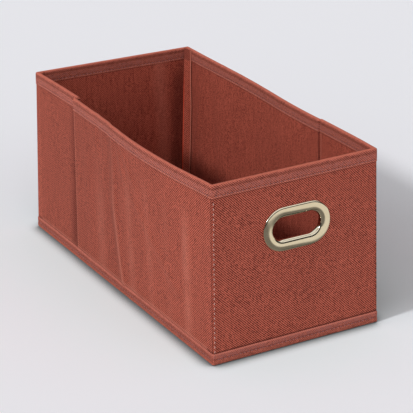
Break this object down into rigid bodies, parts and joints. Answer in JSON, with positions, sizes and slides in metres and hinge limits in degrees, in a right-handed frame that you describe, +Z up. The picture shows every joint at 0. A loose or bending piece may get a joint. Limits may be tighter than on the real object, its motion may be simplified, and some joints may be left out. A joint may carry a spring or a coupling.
{
  "type": "folding fabric storage basket",
  "caption": "Open-topped oblong storage basket of board-stiffened cloth walls that fold flat, with an oblong metal-rimmed finger hole and a loose base insert.",
  "frame": {"origin": "middle of the underside, on the surface the basket stands on", "axes": "+Z up; Y along the basket's length with the grommet wall at -Y; X across its width with the left long wall at -X"},
  "size_m": [0.15, 0.3119, 0.15],
  "materials": {
    "cover_cloth": "terracotta twill cloth, matt",
    "lining_cloth": "terracotta twill cloth, matt, inside of the basket",
    "trim_cloth": "terracotta cloth, folded and stitched",
    "board": "grey fibreboard, hidden inside the cloth",
    "grommet_metal": "polished, pale champagne nickel"
  },
  "bodies": {
    "left_wall": {"left_cover": "cover_cloth", "left_lining": "lining_cloth", "left_top_binding": "trim_cloth", "left_hem": "trim_cloth", "left_long_board": "board", "left_short_board": "board", "bottom_sheet": "trim_cloth"},
    "front_wall": {"front_cover": "cover_cloth", "front_lining": "lining_cloth", "front_top_binding": "trim_cloth", "front_hem": "trim_cloth", "front_board": "board", "grommet_face": "grommet_metal", "grommet_back_washer": "grommet_metal"},
    "rear_wall": {"rear_cover": "cover_cloth", "rear_lining": "lining_cloth", "rear_top_binding": "trim_cloth", "rear_hem": "trim_cloth", "rear_board": "board"},
    "right_wall_short_part": {"right_short_cover": "cover_cloth", "right_short_lining": "lining_cloth", "right_short_top_binding": "trim_cloth", "right_short_hem": "trim_cloth", "right_short_board": "board"},
    "right_wall_long_part": {"right_long_cover": "cover_cloth", "right_long_lining": "lining_cloth", "right_long_top_binding": "trim_cloth", "right_long_hem": "trim_cloth", "right_long_board": "board"},
    "base_insert": {"insert_board": "board", "insert_top_cover": "lining_cloth", "insert_bottom_cover": "lining_cloth"}
  },
  "joints": [
    {"name": "front_left_corner_fold", "type": "hinge", "parent": "left_wall", "child": "front_wall", "pos_m": [-0.0694, -0.1494, 0.075], "axis": [0, 0, 1], "range_deg": [0, 90], "deforming": ["front_hem"]},
    {"name": "front_right_corner_fold", "type": "hinge", "parent": "front_wall", "child": "right_wall_short_part", "pos_m": [0.075, -0.155, 0.075], "axis": [0, 0, 1], "range_deg": [-90, 0], "deforming": ["right_short_hem"]},
    {"name": "rear_left_corner_fold", "type": "hinge", "parent": "left_wall", "child": "rear_wall", "pos_m": [-0.075, 0.155, 0.075], "axis": [0, 0, 1], "range_deg": [0, 90], "deforming": ["rear_hem"]},
    {"name": "rear_right_corner_fold", "type": "hinge", "parent": "rear_wall", "child": "right_wall_long_part", "pos_m": [0.0694, 0.1494, 0.075], "axis": [0, 0, 1], "range_deg": [-90, 0], "deforming": ["right_long_hem"]},
    {"name": "insert_lift", "type": "slide", "parent": "left_wall", "child": "base_insert", "axis": [0, 0, 1], "range_m": [0, 0.16]}
  ],
  "couplings": [
    {"joint": "front_right_corner_fold", "follows": "front_left_corner_fold", "ratio": -1},
    {"joint": "rear_left_corner_fold", "follows": "front_left_corner_fold", "ratio": 1},
    {"joint": "rear_right_corner_fold", "follows": "front_left_corner_fold", "ratio": -1}
  ]
}
